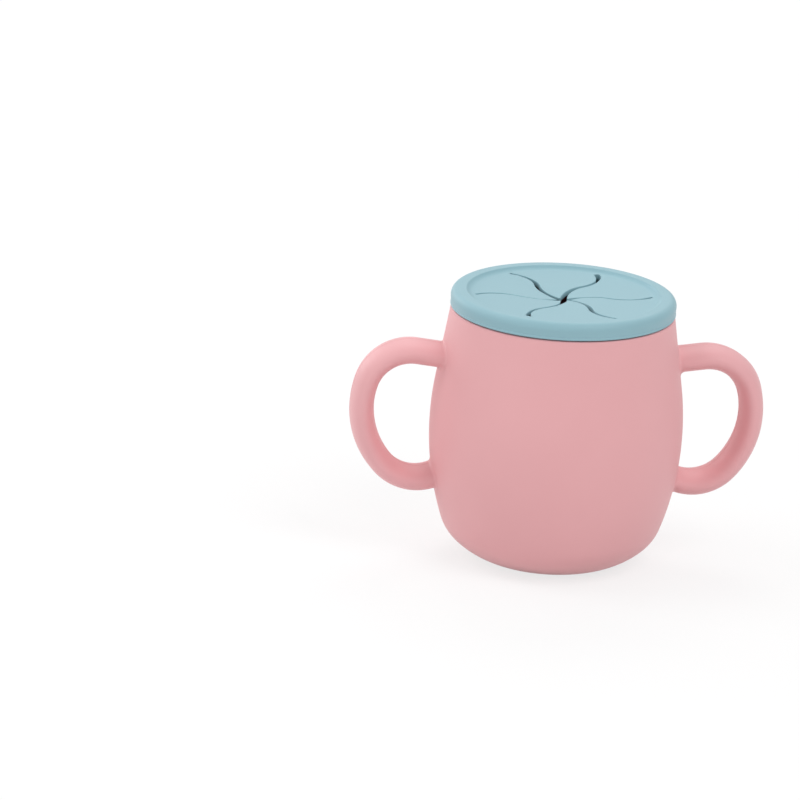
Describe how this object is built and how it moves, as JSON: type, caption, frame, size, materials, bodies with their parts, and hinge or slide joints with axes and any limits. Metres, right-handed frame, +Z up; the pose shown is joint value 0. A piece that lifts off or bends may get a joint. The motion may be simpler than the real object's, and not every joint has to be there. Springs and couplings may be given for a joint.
{
  "type": "toddler training cup",
  "caption": "Soft belly-shaped toddler cup with a loop handle on each side and a push-on lid whose dished middle is slit into curved flaps that bend for reaching in.",
  "frame": {"origin": "middle of the flat face the cup stands on", "axes": "+X towards the right-hand handle, +Y away from the pictured front, +Z up"},
  "size_m": [0.1364, 0.0831, 0.0903],
  "materials": {
    "cup_silicone": "satin matte silicone, pale pink",
    "lid_silicone": "satin matte silicone, pale blue"
  },
  "bodies": {
    "cup": {"cup_body": "cup_silicone", "left_handle": "cup_silicone", "right_handle": "cup_silicone"},
    "lid": {"lid": "lid_silicone"},
    "lid_flap_1": {"lid_flap_1": "lid_silicone"},
    "lid_flap_2": {"lid_flap_2": "lid_silicone"},
    "lid_flap_3": {"lid_flap_3": "lid_silicone"},
    "lid_flap_4": {"lid_flap_4": "lid_silicone"},
    "lid_flap_5": {"lid_flap_5": "lid_silicone"},
    "lid_flap_6": {"lid_flap_6": "lid_silicone"}
  },
  "joints": [
    {"name": "lid_lift", "type": "slide", "parent": "cup", "child": "lid", "axis": [0, 0, 1], "range_m": [0, 0.04]},
    {"name": "lid_flap_1_bend", "type": "hinge", "parent": "lid", "child": "lid_flap_1", "pos_m": [0.02158, 0.01246, 0.08814], "axis": [-0.5, 0.866, 0], "range_deg": [-75, 60], "stiffness_Nm_per_rad": 0.004},
    {"name": "lid_flap_2_bend", "type": "hinge", "parent": "lid", "child": "lid_flap_2", "pos_m": [0, 0.02491, 0.08814], "axis": [-1, 0, 0], "range_deg": [-75, 60], "stiffness_Nm_per_rad": 0.004},
    {"name": "lid_flap_3_bend", "type": "hinge", "parent": "lid", "child": "lid_flap_3", "pos_m": [-0.02158, 0.01246, 0.08814], "axis": [-0.5, -0.866, 0], "range_deg": [-75, 60], "stiffness_Nm_per_rad": 0.004},
    {"name": "lid_flap_4_bend", "type": "hinge", "parent": "lid", "child": "lid_flap_4", "pos_m": [-0.02158, -0.01246, 0.08814], "axis": [0.5, -0.866, 0], "range_deg": [-75, 60], "stiffness_Nm_per_rad": 0.004},
    {"name": "lid_flap_5_bend", "type": "hinge", "parent": "lid", "child": "lid_flap_5", "pos_m": [0, -0.02491, 0.08814], "axis": [1, 0, 0], "range_deg": [-75, 60], "stiffness_Nm_per_rad": 0.004},
    {"name": "lid_flap_6_bend", "type": "hinge", "parent": "lid", "child": "lid_flap_6", "pos_m": [0.02158, -0.01246, 0.08814], "axis": [0.5, 0.866, 0], "range_deg": [-75, 60], "stiffness_Nm_per_rad": 0.004}
  ]
}
